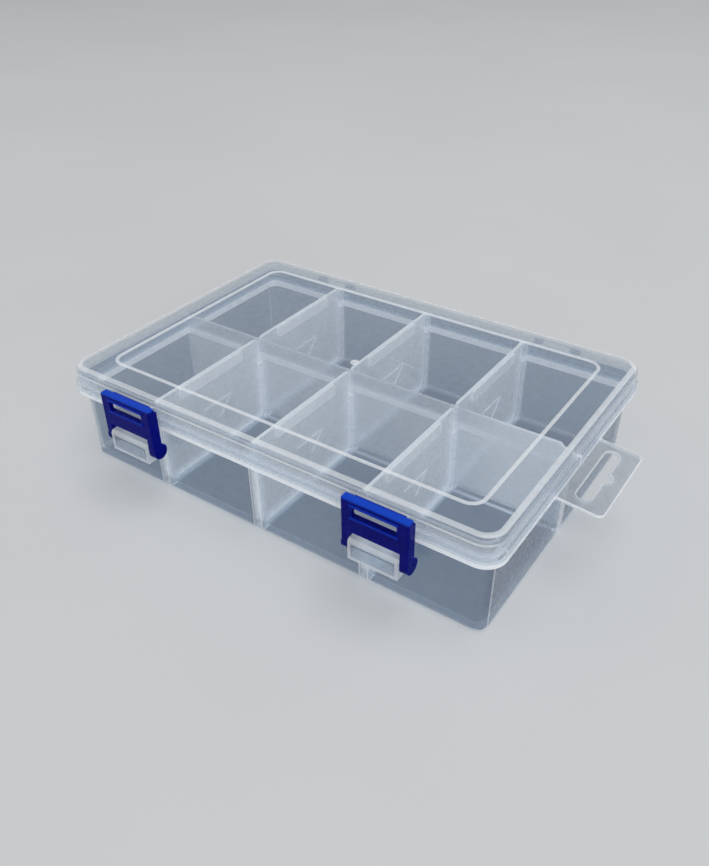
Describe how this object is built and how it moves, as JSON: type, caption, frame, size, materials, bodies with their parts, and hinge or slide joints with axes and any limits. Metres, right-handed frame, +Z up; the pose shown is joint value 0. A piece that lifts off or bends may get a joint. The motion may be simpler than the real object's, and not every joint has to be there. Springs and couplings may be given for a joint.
{
  "type": "compartment storage box",
  "caption": "Shallow translucent storage box with a hinged lid, snap latches, lift-out dividers that make two rows of compartments, and a hang tab with a euro slot.",
  "frame": {"origin": "centre of the tray's flat underside", "axes": "+X along the box to the hang tab's end, +Y to the hinge side, -Y to the latches, +Z up"},
  "size_m": [0.2169, 0.1482, 0.0459],
  "materials": {
    "clear_plastic": "translucent, smooth",
    "blue_plastic": "smooth"
  },
  "bodies": {
    "tray": {"base_tray": "clear_plastic", "divider_front_left": "clear_plastic", "divider_front_middle": "clear_plastic", "divider_front_right": "clear_plastic", "divider_back_left": "clear_plastic", "divider_back_middle": "clear_plastic", "divider_back_right": "clear_plastic", "hang_tab": "clear_plastic"},
    "lid": {"lid": "clear_plastic"},
    "latch_left": {"latch_left": "blue_plastic"},
    "latch_right": {"latch_right": "blue_plastic"}
  },
  "joints": [
    {"name": "lid_hinge", "type": "hinge", "parent": "tray", "child": "lid", "pos_m": [0, 0.0712, 0.0381], "axis": [-1, 0, 0], "range_deg": [0, 180]},
    {"name": "latch_left_pivot", "type": "hinge", "parent": "tray", "child": "latch_left", "pos_m": [-0.0593, -0.0703, 0.0237], "axis": [1, 0, 0], "range_deg": [0, 110]},
    {"name": "latch_right_pivot", "type": "hinge", "parent": "tray", "child": "latch_right", "pos_m": [0.0577, -0.0703, 0.0237], "axis": [1, 0, 0], "range_deg": [0, 110]}
  ]
}
